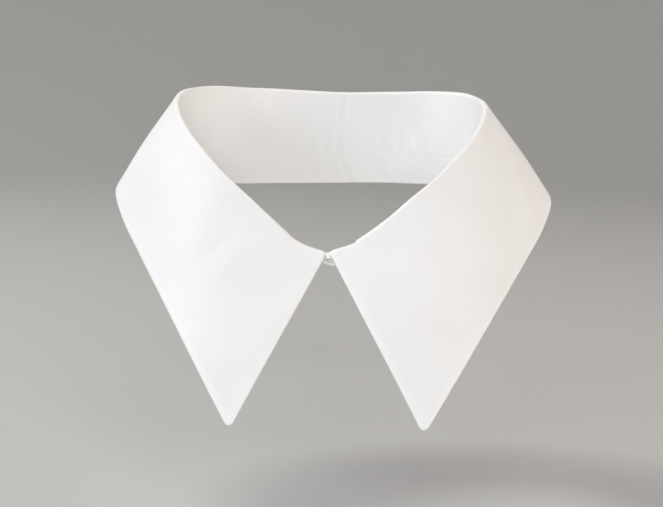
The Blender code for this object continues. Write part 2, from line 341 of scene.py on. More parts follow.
@dataclass(frozen=True)
class CollarShape:
    """The form that the collar keeps round a neck, as its section table and sizes give it."""

    roll_back: float = 3.0
    roll_front: float = 2.6
    stand_lean: float = 1.5
    tip_radius: float = 1.9
    tip_angle: float = 57.0
    band_back: float = 12.0
    band_front: float = 1.9
    band_fullness: float = 0.75
    fold_drift: float = -0.9
    hem_drift: float = 1.0
    drift_loss: float = 0.5
    neck_tilt: float = 0.012
    look_ahead: float = 0.004  # in stations, to find the direction along the fold
    turn_rounds: int = 6
    swell_scale: float = 16.0
    seam_gap: float = 0.005
    pressed: tuple[Press, ...] = (
        Press(0.0, 2.8, 0.6),
        Press(0.46, 2.8, 0.6),
        Press(0.58, 3.6, -0.5),
        Press(0.69, 3.6, -0.6),
        Press(0.80, 1.0, 1.3),
        Press(0.86, 0.1, 1.5),
        Press(1.01, 0.1, 1.5),
    )
    left_sag: tuple[Sag, ...] = (Sag(0.0, 0.0), Sag(0.78, 0.0), Sag(0.92, 1.1), Sag(1.01, 0.4))
    leaf_depth: float = 0.95
    band_depth_back: float = 1.5
    band_depth_front: float = 2.26
    stand_steps: int = 18
    roll_steps: int = 14
    fall_steps: int = 30
    stand_crowding: float = 1.2  # above 1, the rows of points lie closer near the band seam
    edge_steps: tuple[float, ...] = (4.2, 3.2, 2.4, 1.7, 1.15, 0.7, 0.35, 0.12, 0.0)
    fine_until: float = 0.18
    fine_stations: int = 130
    even_stations: int = 186
    measured_stations: int = 801
    end_stations: tuple[float, ...] = (
        0.036, 0.028, 0.022, 0.0175, 0.0135, 0.010, 0.007, 0.0045, 0.0025, 0.001, 0.0,
    )

    def row_at(self, index: int) -> np.ndarray:
        """A row of the table, which is turned over below 0 and runs on past its end.

        Args:
            index: the row's number.

        Returns:
            Its values.
        """
        if index < 0:
            row = self.row_at(-index)
            row[SIDEWAYS] *= -1.0
            return row
        if index > LAST:
            return 2.0 * np.array(SECTIONS[LAST]) - np.array(SECTIONS[LAST - 1])
        return np.array(SECTIONS[index])

    def section_at(self, station: float) -> Section:
        """The table read smoothly, with the collar's small unevenness added.

        Args:
            station: from -1 at the left front, over 0 at the centre back, to 1 at the right front.

        Returns:
            The values there.
        """
        place = station * LAST
        index = min(math.floor(place), LAST - 1)
        near = [self.row_at(index + step) for step in (-1, 0, 1, 2)]
        row = Section(*smooth_step(*near, place - index))
        drift = 1.0 - self.drift_loss * station**4
        return row._replace(
            fold_x=row.fold_x + self.fold_drift * drift,
            neck_z=row.neck_z + self.neck_tilt * row.fold_x,
            hem_x=row.hem_x + self.hem_drift * drift,
        )

    def front_shift(self) -> float:
        """How far to the side the two ends of the fold meet."""
        return self.fold_drift * (1.0 - self.drift_loss)

    def roll_radius(self, station: float) -> float:
        """The outer radius of the rolled fold."""
        return self.roll_back + (self.roll_front - self.roll_back) * abs(station)

    def roll_centre(self, station: float) -> np.ndarray:
        """The line that the fold rolls round."""
        row = self.section_at(station)
        return np.array((row.fold_x, row.fold_y, row.fold_z - self.roll_radius(station)))

    def fold_frame(self, station: float) -> tuple[np.ndarray, np.ndarray, np.ndarray, np.ndarray]:
        """Where the fold lies at one station and which way it runs.

        Args:
            station: where along the collar.

        Returns:
            The roll's centre, the direction along it, and across it the directions out and up.
        """
        ahead = self.roll_centre(min(station + self.look_ahead, 1.0))
        behind = self.roll_centre(max(station - self.look_ahead, -1.0))
        along = unit(ahead - behind)
        upward = unit(UP - along[2] * along)
        return self.roll_centre(station), along, np.cross(upward, along), upward

    def pressed_fold(self, station: float) -> tuple[np.ndarray, float]:
        """The centre and radius of the fold as pressed, which is tighter than the thick roll.

        Its neck side moves out and its outer side moves in, as the table of both gives, and the
        left front sags a little.

        Args:
            station: where along the collar.

        Returns:
            The centre and the radius.
        """
        centre, _, outward, upward = self.fold_frame(station)
        inside, outside = eased_row(self.pressed, abs(station))
        (sag,) = eased_row(self.left_sag, max(-station, 0.0))
        less = (inside + outside) / 2.0
        moved = centre + (inside - outside) / 2.0 * outward + (less - sag) * upward
        return moved, self.roll_radius(station) - less

    def band_height(self, station: float) -> float:
        """The height of the neckband, which tapers to the front."""
        share = (1.0 - station**2) ** self.band_fullness
        return self.band_front + (self.band_back - self.band_front) * share

    def band_depth(self, station: float) -> float:
        """How thick the neckband is, with the seam allowances inside it."""
        return self.band_depth_back + (self.band_depth_front - self.band_depth_back) * station**4

    def stand_line(self, station: float) -> tuple[np.ndarray, np.ndarray]:
        """The two ends of the stand at one station.

        Args:
            station: where along the collar.

        Returns:
            The foot of the stand on its neck side, and where the stand runs into the fold.
        """
        centre, _, outward, _ = self.fold_frame(station)
        below = centre - self.roll_radius(station) * outward
        foot = np.array((below[0], below[1], self.section_at(station).neck_z))
        pressed, radius = self.pressed_fold(station)
        return foot + self.stand_lean * (1.0 - station**4) * outward, pressed - radius * outward

    def hem_point(self, station: float) -> np.ndarray:
        """The free edge of the fall, as if the points were sharp."""
        row = self.section_at(station)
        return np.array((row.hem_x, row.hem_y, row.hem_z))

    def tip_trim(self, station: float) -> float:
        """How much of the fall's length the rounding of a point of the collar takes.

        Args:
            station: where along the collar.

        Returns:
            The length taken, which is 0 away from the points.
        """
        corner = self.hem_point(math.copysign(1.0, station))
        gap = np.linalg.norm(self.hem_point(station) - corner)
        angle = math.radians(self.tip_angle)
        short = gap - self.tip_radius / math.tan(angle / 2.0)
        if short >= 0.0:
            return 0.0
        slope = short * math.cos(angle) - self.tip_radius * math.sin(angle)
        return -slope - math.sqrt(max(slope**2 - short**2, 0.0))

    def profile(self, station: float) -> np.ndarray:
        """The face of the cloth at one station, from the band seam over the fold to the hem.

        Args:
            station: where along the collar.

        Returns:
            The points of the face, in order.
        """
        _, along, outward, upward = self.fold_frame(station)
        centre, radius = self.pressed_fold(station)
        foot, top = self.stand_line(station)
        start = foot + (self.band_height(station) + self.seam_gap) * unit(top - foot)
        stand = (np.arange(self.stand_steps) / self.stand_steps) ** self.stand_crowding
        points = [start + (top - start) * share for share in stand]
        hem = self.hem_point(station)
        face = outward
        for _ in range(self.turn_rounds):
            fall = unit(hem - centre - radius * face)
            face = unit(np.cross(along, fall))
        turn = math.pi - math.atan2(face @ upward, face @ outward)
        for step in range(self.roll_steps):
            angle = math.pi - turn * step / self.roll_steps
            points.append(centre + radius * (math.cos(angle) * outward + math.sin(angle) * upward))
        leave = centre + radius * face
        end = hem - self.tip_trim(station) * fall
        length = float(np.linalg.norm(end - leave))
        shares = [
            step / self.fall_steps * (1.0 - self.edge_steps[0] / length)
            for step in range(self.fall_steps)
        ]
        shares += [1.0 - step / length for step in self.edge_steps]
        bow = self.swell_scale * self.section_at(station).bow
        for share in shares:
            swell = bow * share**2 * (1.0 - share) ** 2
            points.append(leave + (end - leave) * share + swell * face)
        return np.array(points)

    def half_stations(self) -> list[float]:
        """Where the right half has its rows of points.

        Returns:
            Stations from the centre back, which has the finest creases, to the right front.
        """
        finish = 1.0 - self.end_stations[0]
        fine = np.linspace(0.0, self.fine_until, self.fine_stations, endpoint=False)
        plain = np.linspace(self.fine_until, finish, self.even_stations, endpoint=False)
        return [float(place) for place in (*fine, *plain, *(1.0 - np.array(self.end_stations)))]

    def all_stations(self) -> list[float]:
        """Stations from the left front round the back to the right front."""
        right = self.half_stations()
        return [-station for station in reversed(right)][:-1] + right

    def fold_length(self, stations: Sequence[float]) -> np.ndarray:
        """How far along the fold stations lie.

        Args:
            stations: where along the collar.

        Returns:
            Their distances from the centre back, below 0 on the left.
        """
        fine = np.linspace(-1.0, 1.0, self.measured_stations)
        length = running_length(np.array([self.roll_centre(station) for station in fine]), 0)
        length -= np.interp(0.0, fine, length)
        return np.interp(stations, fine, length)


@dataclass
class ClothGrid:
    """The visible face of a piece of cloth, as rows of points from its left end to its right."""

    face: np.ndarray
    along: np.ndarray  # for each row of points
    across: np.ndarray  # for each point

    def normals(self) -> np.ndarray:
        """Directions out of the visible face."""
        return unit_rows(np.cross(np.gradient(self.face, axis=0), np.gradient(self.face, axis=1)))

    def weave_places(self) -> np.ndarray:
        """Where each point lies in the weave.

        Returns:
            Its real lengths along and across the cloth.
        """
        run = running_length(self.face, 0)
        middle = int(np.argmin(np.abs(self.along)))
        return np.stack((run - run[middle], self.across), axis=-1)

    def distance_to(self, line: np.ndarray) -> np.ndarray:
        """How far each point lies from a line of points.

        Args:
            line: the points of the line, in order.

        Returns:
            The distances, as rows and columns.
        """
        start, run = line[:-1], np.diff(line, axis=0)
        square = np.maximum((run**2).sum(axis=1), TINY)
        found = np.empty(self.face.shape[:2])
        for index, row in enumerate(self.face):
            offset = row[:, None] - start[None]
            part = np.clip((offset * run).sum(axis=2) / square, 0.0, 1.0)
            gap = offset - part[..., None] * run
            found[index] = np.sqrt((gap**2).sum(axis=2).min(axis=1))
        return found

    def relief(self, creases: Sequence[Crease], waves: float = 1.0) -> np.ndarray:
        """How far creases and waves lift each point out of the face.

        Args:
            creases: the ridges and troughs.
            waves: the share of the broad waves that this piece has.

        Returns:
            The heights, as rows and columns.
        """
        along = self.along[:, None]
        total = np.zeros_like(self.across)
        for wave in WAVES:
            turn = 2.0 * math.pi * (along / wave.length + self.across / wave.breadth)
            total += waves * wave.height * np.sin(turn + wave.phase)
        for crease in creases:
            part = np.clip((self.across - crease.low) / (crease.high - crease.low), 0.0, 1.0)
            middle = crease.along + crease.lean * part
            fade = np.clip(4.0 * part * (1.0 - part), 0.0, 1.0) ** CREASE_FADE
            total += crease.height * fade * np.exp(-(((along - middle) / crease.width) ** 2))
        return total


def collar_grid(shape: CollarShape, stations: Sequence[float]) -> ClothGrid:
    """The face of the collar above the band seam.

    Args:
        shape: the collar's form.
        stations: where its rows of points lie.

    Returns:
        The face, measured across from the neck edge.
    """
    face = np.array([shape.profile(station) for station in stations])
    height = np.array([shape.band_height(station) for station in stations])
    across = running_length(face, 1) + height[:, None]
    return ClothGrid(face, shape.fold_length(stations), across)


def plain_mesh(name: str, points: np.ndarray, faces: list[list[int]]) -> bpy.types.Mesh:
    """A smooth-shaded mesh.

    Args:
        name: the mesh's name.
        points: its points, in millimetres.
        faces: the numbers of each face's points.

    Returns:
        The mesh, in metres.
    """
    mesh = bpy.data.meshes.new(name)
    mesh.from_pydata((points * MM).tolist(), [], faces)
    mesh.validate()
    mesh.shade_smooth()
    mesh.set_sharp_from_angle(angle=math.radians(SHARP_DEGREES))
    return mesh


def linked(name: str, content: bpy.types.ID) -> bpy.types.Object:
    """Puts an object into the scene.

    Args:
        name: the object's name.
        content: its mesh, curve, lamp or camera.

    Returns:
        The object, at the origin.
    """
    made = bpy.data.objects.new(name, content)
    bpy.context.scene.collection.objects.link(made)
    return made


def placed(name: str, mesh: bpy.types.Mesh, finish: bpy.types.Material) -> bpy.types.Object:
    """Puts a mesh with one finish into the scene.

    Args:
        name: the object's name.
        mesh: its mesh.
        finish: its material.

    Returns:
        The object, at the origin.
    """
    mesh.materials.clear()
    mesh.materials.append(finish)
    return linked(name, mesh)


def fixed_mesh(source: bpy.types.Object, name: str) -> bpy.types.Mesh:
    """Turns an object's curve or its modifiers' result into a plain mesh.

    Args:
        source: the object, which is removed.
        name: the mesh's name.

    Returns:
        The mesh.
    """
    graph = bpy.context.evaluated_depsgraph_get()
    mesh = bpy.data.meshes.new_from_object(source.evaluated_get(graph), depsgraph=graph)
    bpy.data.objects.remove(source, do_unlink=True)
    mesh.name = name
    return mesh


def shell_faces(rows: int, columns: int) -> list[list[int]]:
    """The faces of a closed wall between two grids of points, the visible one first.

    Args:
        rows: the number of rows in each grid.
        columns: the number of columns.

    Returns:
        The numbers of each face's points.
    """
    half = rows * columns
    first = (np.arange(rows - 1)[:, None] * columns + np.arange(columns - 1)[None]).ravel()
    front = np.stack((first, first + columns, first + columns + 1, first + 1), axis=1)
    faces = front.tolist() + (front[:, ::-1] + half).tolist()
    top_row = list(range(columns))
    bottom_row = [index + half - columns for index in top_row]
    first_column = list(range(0, half, columns))
    last_column = [index + columns - 1 for index in first_column]
    rim = first_column[:-1] + bottom_row[:-1] + last_column[:0:-1] + top_row[:0:-1]
    for start, end in zip(rim, rim[1:] + rim[:1]):
        faces.append([end, start, start + half, end + half])
    return faces


def cloth_shell(
    name: str,
    grid: ClothGrid,
    front_depth: np.ndarray,
    back_depth: np.ndarray,
    edge: np.ndarray,
    crease_shading: np.ndarray,
    finish: bpy.types.Material,
) -> bpy.types.Object:
    """A closed wall of cloth on a grid, with the weave's map and attributes for its edge whitening and
    its painted crease shading.

    Args:
        name: the piece's name.
        grid: the face that the wall is laid on.
        front_depth: how far the wall's one side lies under the face.
        back_depth: how far its other side lies under the face.
        edge: 1 at a turned edge and 0 away from it; it whitens the cloth there, partly as the seam
            allowance behind it does and partly as a painted highlight.
        crease_shading: painted shading that follows the relief, round 0: darker in the troughs of
            creases, lighter on their ridges.
        finish: the cloth's material.

    Returns:
        The piece's object.
    """
    normals = grid.normals()
    rows, columns = grid.across.shape
    front = grid.face - front_depth[..., None] * normals
    back = grid.face - back_depth[..., None] * normals
    points = np.concatenate((front.reshape(-1, 3), back.reshape(-1, 3)))
    mesh = plain_mesh(name, points, shell_faces(rows, columns))
    places = np.tile(grid.weave_places().reshape(-1, 2) * MM, (2, 1))
    corners = np.empty(len(mesh.loops), dtype=np.int32)
    mesh.loops.foreach_get("vertex_index", corners)
    layer = mesh.uv_layers.new(name=WEAVE_MAP)
    layer.uv.foreach_set("vector", places[corners].astype(np.float32).ravel())
    for attribute, values in ((EDGE_WHITE_HIGHLIGHT_ATTRIBUTE, edge), (CREASE_SHADING_ATTRIBUTE, crease_shading)):
        stored = mesh.attributes.new(attribute, "FLOAT", "POINT")
        stored.data.foreach_set("value", np.tile(values.ravel(), 2).astype(np.float32))
    return placed(name, mesh, finish)


class NodeBoard:
    """A material's node tree, with short ways to add and join its nodes."""

    def __init__(self, name: str) -> None:
        """Starts a material with only its output and shader.

        Args:
            name: the material's name.
        """
        self.material = bpy.data.materials.new(name)
        self.material.use_nodes = True
        self.tree = self.material.node_tree
        self.shader = self.tree.nodes["Principled BSDF"]

    def add(self, kind: str, **settings: object) -> bpy.types.Node:
        """Adds a node.

        Args:
            kind: the node's type.
            **settings: its properties, by name.

        Returns:
            The node.
        """
        node = self.tree.nodes.new(kind)
        for name, value in settings.items():
            setattr(node, name, value)
        return node

    def join(self, output: Socket, into: Socket) -> None:
        """Links an output to an input."""
        self.tree.links.new(output, into)

    def give(self, value: Socket | float | Colour, into: Socket) -> None:
        """Gives an input its value.

        Args:
            value: an output to link, or a number or colour to set.
            into: the input.
        """
        if isinstance(value, Socket):
            self.join(value, into)
        else:
            into.default_value = value

    def maths(self, operation: str, first: Socket | float, second: Socket | float = 0.0) -> Socket:
        """The result of a sum on one or two values.

        Args:
            operation: the name of the sum.
            first: a number or an output.
            second: a number or an output.

        Returns:
            The output that holds the result.
        """
        node = self.add("ShaderNodeMath", operation=operation)
        for socket, value in zip(node.inputs, (first, second)):
            self.give(value, socket)
        return node.outputs[0]

    def mix(self, share: Socket, first: Socket | Colour, second: Socket | Colour) -> Socket:
        """Goes from one colour to another.

        Args:
            share: 0 for the first colour and 1 for the second.
            first: a colour or an output.
            second: a colour or an output.

        Returns:
            The output that holds the mixed colour.
        """
        node = self.add("ShaderNodeMix", data_type="RGBA")
        self.join(share, node.inputs[0])
        for index, value in zip(MIX_COLOURS, (first, second)):
            self.give(value, node.inputs[index])
        return node.outputs[MIX_RESULT]

    def noise(self, place: Socket, scale: float, detail: float) -> Socket:
        """A smooth random value round a half.

        Args:
            place: the output with the places that it is read at.
            scale: how many of its cells lie in one unit of place.
            detail: how many finer layers it has.

        Returns:
            The output that holds the value.
        """
        node = self.add("ShaderNodeTexNoise")
        node.inputs["Scale"].default_value = scale
        node.inputs["Detail"].default_value = detail
        self.join(place, node.inputs["Vector"])
        return node.outputs["Fac"]

    def bump(
        self, height: Socket, depth: float, strength: float, below: Socket | None = None
    ) -> Socket:
        """A bump that tilts the light on a surface.

        Args:
            height: the output with its height, from 0 to 1.
            depth: how deep a height of 1 is, in millimetres.
            strength: the share of the tilt that is used.
            below: a bump that it is laid over.

        Returns:
            The output that holds the tilted direction.
        """
        node = self.add("ShaderNodeBump")
        node.inputs["Distance"].default_value = depth * MM
        node.inputs["Strength"].default_value = strength
        self.join(height, node.inputs["Height"])
        if below is not None:
            self.join(below, node.inputs["Normal"])
        return node.outputs[0]


@dataclass(frozen=True)
class PoplinFinish:
    """White cotton poplin: a fine plain weave, pressed, matt with a faint sheen."""

    name: str = "white_poplin"
    white: Colour = (0.845, 0.842, 0.836, 1.0)
    # the darker tone for the random clouds and slubs, and for the painted shade in crease troughs
    shade: Colour = (0.780, 0.775, 0.765, 1.0)
    cool: Colour = (0.835, 0.838, 0.846, 1.0)
    # the whitening at edges: partly the allowance behind the cloth, partly a painted highlight
    edge_white_and_highlight: Colour = (0.900, 0.897, 0.888, 1.0)
    thread_pitch: float = 0.32
    weave_depth: float = 0.045
    weave_strength: float = 0.42
    cloud_size: float = 34.0
    cloud_detail: float = 2.0
    cloud_from: float = 0.38
    cloud_to: float = 0.72
    cloud_shade: float = 0.30
    tint_scale: float = 0.6
    tint_share: float = 0.5
    slub_length: float = 9.0
    slub_width: float = 0.5
    slub_shade: float = 0.10
    slub_strength: float = 0.30
    roughness_range: float = 0.10
    roughness: float = 0.78
    sheen: float = 0.18
    sheen_roughness: float = 0.45
    specular: float = 0.32

    def threads(self, board: NodeBoard, place: Socket) -> Socket:
        """How high the threads of one direction stand, by a place counted in threads."""
        return board.maths("ABSOLUTE", board.maths("SINE", board.maths("MULTIPLY", place, math.pi)))

    def weave(self, board: NodeBoard, map_place: Socket) -> Socket:
        """A plain weave, whose threads pass over one another by turns.

        Args:
            board: the node board of the cloth's material.
            map_place: the output with the places in the weave.

        Returns:
            The output with the height of the weave.
        """
        scale = board.add("ShaderNodeVectorMath", operation="SCALE")
        scale.inputs["Scale"].default_value = 1.0 / (self.thread_pitch * MM)
        board.join(map_place, scale.inputs[0])
        split = board.add("ShaderNodeSeparateXYZ")
        board.join(scale.outputs[0], split.inputs[0])
        warp = self.threads(board, split.outputs[0])
        weft = self.threads(board, split.outputs[1])
        checks = board.add("ShaderNodeTexChecker")
        checks.inputs["Scale"].default_value = 1.0
        board.join(scale.outputs[0], checks.inputs["Vector"])
        over = board.maths("MULTIPLY", checks.outputs["Fac"], warp)
        other = board.maths("SUBTRACT", 1.0, checks.outputs["Fac"])
        under = board.maths("MULTIPLY", other, weft)
        return board.maths("ADD", over, under)

    def slubs(self, board: NodeBoard, map_place: Socket) -> Socket:
        """Threads that are a little thicker for a short way, along and across.

        Args:
            board: the node board of the cloth's material.
            map_place: the output with the places in the weave.

        Returns:
            The output with the thickness of the threads.
        """
        found = []
        for run, rise in ((self.slub_length, self.slub_width), (self.slub_width, self.slub_length)):
            mapping = board.add("ShaderNodeMapping")
            mapping.inputs["Scale"].default_value = (1.0 / run / MM, 1.0 / rise / MM, 1.0)
            board.join(map_place, mapping.inputs["Vector"])
            found.append(board.noise(mapping.outputs[0], 1.0, 1.0))
        return board.maths("MAXIMUM", *found)

    def material(self) -> bpy.types.Material:
        """Builds the cloth's material.

        Returns:
            The material.
        """
        board = NodeBoard(self.name)
        place = board.add("ShaderNodeUVMap", uv_map=WEAVE_MAP).outputs[0]
        solid = board.add("ShaderNodeTexCoord").outputs["Object"]
        clouds = board.noise(solid, 1.0 / (self.cloud_size * MM), self.cloud_detail)
        tint = board.noise(solid, self.tint_scale / (self.cloud_size * MM), 1.0)
        slubs = self.slubs(board, place)
        weave = self.weave(board, place)
        crease_shading = board.add("ShaderNodeAttribute", attribute_name=CREASE_SHADING_ATTRIBUTE).outputs["Fac"]
        edge = board.add("ShaderNodeAttribute", attribute_name=EDGE_WHITE_HIGHLIGHT_ATTRIBUTE).outputs["Fac"]
        faint = board.add("ShaderNodeMapRange", interpolation_type="SMOOTHSTEP")
        faint.inputs["From Min"].default_value = self.cloud_from
        faint.inputs["From Max"].default_value = self.cloud_to
        board.join(clouds, faint.inputs["Value"])
        cast = board.maths("MULTIPLY", tint, self.tint_share)
        colour = board.mix(cast, self.white, self.cool)
        clouded = board.maths("MULTIPLY", faint.outputs[0], self.cloud_shade)
        # painted shading: crease troughs go darker and crease ridges lighter, on top of the random
        # clouds
        darker = board.maths("SUBTRACT", clouded, crease_shading)
        darker = board.maths("ADD", darker, board.maths("MULTIPLY", slubs, self.slub_shade))
        within = board.add("ShaderNodeClamp")
        board.join(darker, within.inputs[0])
        colour = board.mix(within.outputs[0], colour, self.shade)
        # edges whitened: partly the allowance behind the cloth, partly a painted highlight
        colour = board.mix(edge, colour, self.edge_white_and_highlight)
        board.join(colour, board.shader.inputs["Base Color"])
        rougher = board.maths("MULTIPLY", slubs, self.roughness_range)
        least = self.roughness - self.roughness_range / 2.0
        board.join(board.maths("ADD", rougher, least), board.shader.inputs["Roughness"])
        fine = board.bump(weave, self.weave_depth, self.weave_strength)
        coarse = board.bump(slubs, self.weave_depth, self.slub_strength, fine)
        board.join(coarse, board.shader.inputs["Normal"])
        board.shader.inputs["Sheen Weight"].default_value = self.sheen
        board.shader.inputs["Sheen Roughness"].default_value = self.sheen_roughness
        board.shader.inputs["Specular IOR Level"].default_value = self.specular
        return board.material


@dataclass(frozen=True)
class ThreadFinish:
    """Two-ply cotton sewing thread."""

    name: str = "cotton_thread"
    colour: Colour = (0.90, 0.895, 0.875, 1.0)
    shade: Colour = (0.82, 0.81, 0.78, 1.0)
    twist_pitch: float = 0.30
    bands_each_scale: float = 3.0  # about how many bands the wave node lays at a scale of 1
    twist_wander: float = 1.2
    twist_depth: float = 0.04
    twist_strength: float = 0.5
    roughness: float = 0.62
    sheen: float = 0.2

    def material(self) -> bpy.types.Material:
        """Builds the thread's material, with its twist as bump and shade.

        Returns:
            The material.
        """
        board = NodeBoard(self.name)
        solid = board.add("ShaderNodeTexCoord").outputs["Object"]
        wave = board.add("ShaderNodeTexWave", bands_direction="DIAGONAL")
        wave.inputs["Scale"].default_value = 1.0 / (self.twist_pitch * MM) / self.bands_each_scale
        wave.inputs["Distortion"].default_value = self.twist_wander
        board.join(solid, wave.inputs["Vector"])
        twist = wave.outputs["Fac"]
        board.join(board.mix(twist, self.shade, self.colour), board.shader.inputs["Base Color"])
        relief = board.bump(twist, self.twist_depth, self.twist_strength)
        board.join(relief, board.shader.inputs["Normal"])
        board.shader.inputs["Roughness"].default_value = self.roughness
        board.shader.inputs["Sheen Weight"].default_value = self.sheen
        return board.material


@dataclass(frozen=True)
class WireFinish:
    """Thin nickel-plated wire, a little dull and scratched."""

    name: str = "nickel_plate"
    bright: Colour = (0.82, 0.81, 0.77, 1.0)
    dull: Colour = (0.62, 0.60, 0.55, 1.0)
    spot_size: float = 0.5
    spot_detail: float = 3.0
    scratch_fineness: float = 8.0  # how many times finer than the spots
    scratch_detail: float = 2.0
    scratch_depth: float = 0.01
    scratch_strength: float = 0.25
    roughness: float = 0.20
    spot_roughness: float = 0.20

    def material(self) -> bpy.types.Material:
        """Builds the wire's material, with dull spots and fine scratches.

        Returns:
            The material.
        """
        board = NodeBoard(self.name)
        solid = board.add("ShaderNodeTexCoord").outputs["Object"]
        spots = board.noise(solid, 1.0 / (self.spot_size * MM), self.spot_detail)
        fineness = self.scratch_fineness / (self.spot_size * MM)
        scratches = board.noise(solid, fineness, self.scratch_detail)
        board.join(board.mix(spots, self.bright, self.dull), board.shader.inputs["Base Color"])
        rougher = board.maths("MULTIPLY", spots, self.spot_roughness)
        board.join(board.maths("ADD", rougher, self.roughness), board.shader.inputs["Roughness"])
        relief = board.bump(scratches, self.scratch_depth, self.scratch_strength)
        board.join(relief, board.shader.inputs["Normal"])
        board.shader.inputs["Metallic"].default_value = 1.0
        return board.material


@dataclass(frozen=True)
class TurnedEdge:
    """An edge where two leaves are sewn, turned right side out and pressed."""

    radius: float = 2.1
    depth: float = 0.43
    bead_place: float = 2.8
    bead_width: float = 1.5
    bead_height: float = 0.05
    pale_from: float = 0.6
    pale_to: float = 3.4
    pale_share: float = 0.45

    def bead(self, distance: np.ndarray) -> np.ndarray:
        """How far the seam allowance inside lifts the cloth."""
        share = (distance - self.bead_place) / self.bead_width
        return self.bead_height * np.exp(-(share**2))

    def drop(self, distance: np.ndarray) -> np.ndarray:
        """How far the cloth drops to the edge."""
        return rounding(distance, self.radius, self.depth)

    def whitening_and_highlight(self, distance: np.ndarray) -> np.ndarray:
        """How much the edge is whitened: partly by the seam allowance behind the thin cloth, partly as
        a painted highlight on the rounded edge.
        """
        return self.pale_share * (1.0 - ease(distance, self.pale_from, self.pale_to))


@dataclass(frozen=True)
class PressedSeam:
    """A plain seam, pressed flat, whose two sides meet in a shallow groove."""

    radius: float = 0.40
    depth: float = 0.045

    def drop(self, distance: np.ndarray) -> np.ndarray:
        """How far the cloth drops into the groove."""
        return rounding(distance, self.radius, self.depth)


@dataclass(frozen=True)
class Ledge:
    """A small step in the fold near the right front, where the layers inside it end."""

    along: float = 188.2
    run: float = 0.8
    fade_from: float = 189.0
    fade_to: float = 200.0
    reach: float = 5.0
    drop: float = 0.6

    def height(self, grid: ClothGrid, fold_column: int) -> np.ndarray:
        """How far the step moves the cloth out of its face.

        Args:
            grid: the leaf's face.
            fold_column: the column of points that lies along the fold.

        Returns:
            The heights, below 0 where the cloth sinks, as rows and columns.
        """
        along = grid.along[:, None]
        past = ease(along, self.along, self.along + self.run)
        past = past * (1.0 - ease(along, self.fade_from, self.fade_to))
        off = (grid.across - grid.across[:, fold_column : fold_column + 1]) / self.reach
        return -self.drop * past * np.exp(-(off**2))


@dataclass
class UpperCollar:
    """The outer leaf: inside of the stand, fold and outside of the fall, in one piece."""

    shape: CollarShape
    edge: TurnedEdge
    seam: PressedSeam
    ledge: Ledge = Ledge()
    wall: float = 0.45
    least_wall: float = 0.05
    # the share of the crease relief that is painted as shade in troughs and light on ridges
    crease_shading_share: float = 0.5
    calm_edge: float = 6.0  # creases fade out over this distance from an edge
    calm_seam_from: float = -0.4
    calm_seam_to: float = 1.2

    def build(self, cloth: bpy.types.Material) -> bpy.types.Object:
        """Makes the leaf and dresses it.

        Args:
            cloth: its material.

        Returns:
            The leaf's object.
        """
        grid = collar_grid(self.shape, self.shape.all_stations())
        rim = np.concatenate((grid.face[0], grid.face[1:-1, -1], grid.face[-1, ::-1]))
        distance = grid.distance_to(rim)
        seam_distance = grid.across - grid.across[:, :1]
        lift = grid.relief((*STAND_CREASES, *FALL_CREASES)) * ease(distance, 0.0, self.calm_edge)
        lift *= ease(seam_distance, self.calm_seam_from, self.calm_seam_to)
        fold_column = self.shape.stand_steps + self.shape.roll_steps // 2
        sunk = self.ledge.height(grid, fold_column)
        drop = np.maximum(self.edge.drop(distance), self.seam.drop(seam_distance))
        front = drop - self.edge.bead(distance) - lift - sunk
        back = np.maximum(self.wall - np.maximum(lift, 0.0), front + self.least_wall)
        whitening_and_highlight = self.edge.whitening_and_highlight(distance)
        return cloth_shell("upper_collar_cloth", grid, front, back, whitening_and_highlight, self.crease_shading_share * lift, cloth)


@dataclass
class UnderCollar:
    """One half of the under collar, seamed to the other at the centre back."""

    shape: CollarShape
    edge: TurnedEdge
    seam: PressedSeam
    side: Side
    start_depth: float = 0.50
    centre_gap: float = 0.02
    least_wall: float = 0.05
    # the share of the crease relief that is painted as shade in troughs and light on ridges
    crease_shading_share: float = 0.4
    wave_share: float = 0.8
    calm_edge: float = 6.0  # creases fade out over this distance from an edge

    def stations(self) -> list[float]:
        """Where the half has its rows of points.

        Returns:
            Its stations, from its left end to its right.
        """
        right = self.shape.half_stations()
        right[0] = self.centre_gap / (SECTIONS[1].fold_x * LAST)
        if self.side is Side.RIGHT:
            return right
        return [-station for station in reversed(right)]

    def build(self, cloth: bpy.types.Material) -> bpy.types.Object:
        """Makes the half and dresses it.

        Args:
            cloth: its material.

        Returns:
            The half's object.
        """
        grid = collar_grid(self.shape, self.stations())
        front, centre = (-1, 0) if self.side is Side.RIGHT else (0, -1)
        rim = np.concatenate((grid.face[:, -1], grid.face[front, ::-1]))
        if self.side is Side.LEFT:
            rim = np.concatenate((grid.face[front], grid.face[1:, -1]))
        distance = grid.distance_to(rim)
        run = grid.weave_places()[..., 0]
        centre_distance = np.abs(run - run[centre])
        seam_distance = np.minimum(grid.across - grid.across[:, :1], centre_distance)
        lift = grid.relief(UNDER_CREASES, self.wave_share) * ease(distance, 0.0, self.calm_edge)
        drop = np.maximum(self.edge.drop(distance), self.seam.drop(seam_distance))
        near = np.full_like(distance, self.start_depth)
        far = self.shape.leaf_depth + self.edge.bead(distance) + lift - drop
        far = np.maximum(far, near + self.least_wall)
        name = f"under_collar_{self.side.name.lower()}_cloth"
        whitening_and_highlight = self.edge.whitening_and_highlight(distance)
        return cloth_shell(name, grid, near, far, whitening_and_highlight, self.crease_shading_share * lift, cloth)


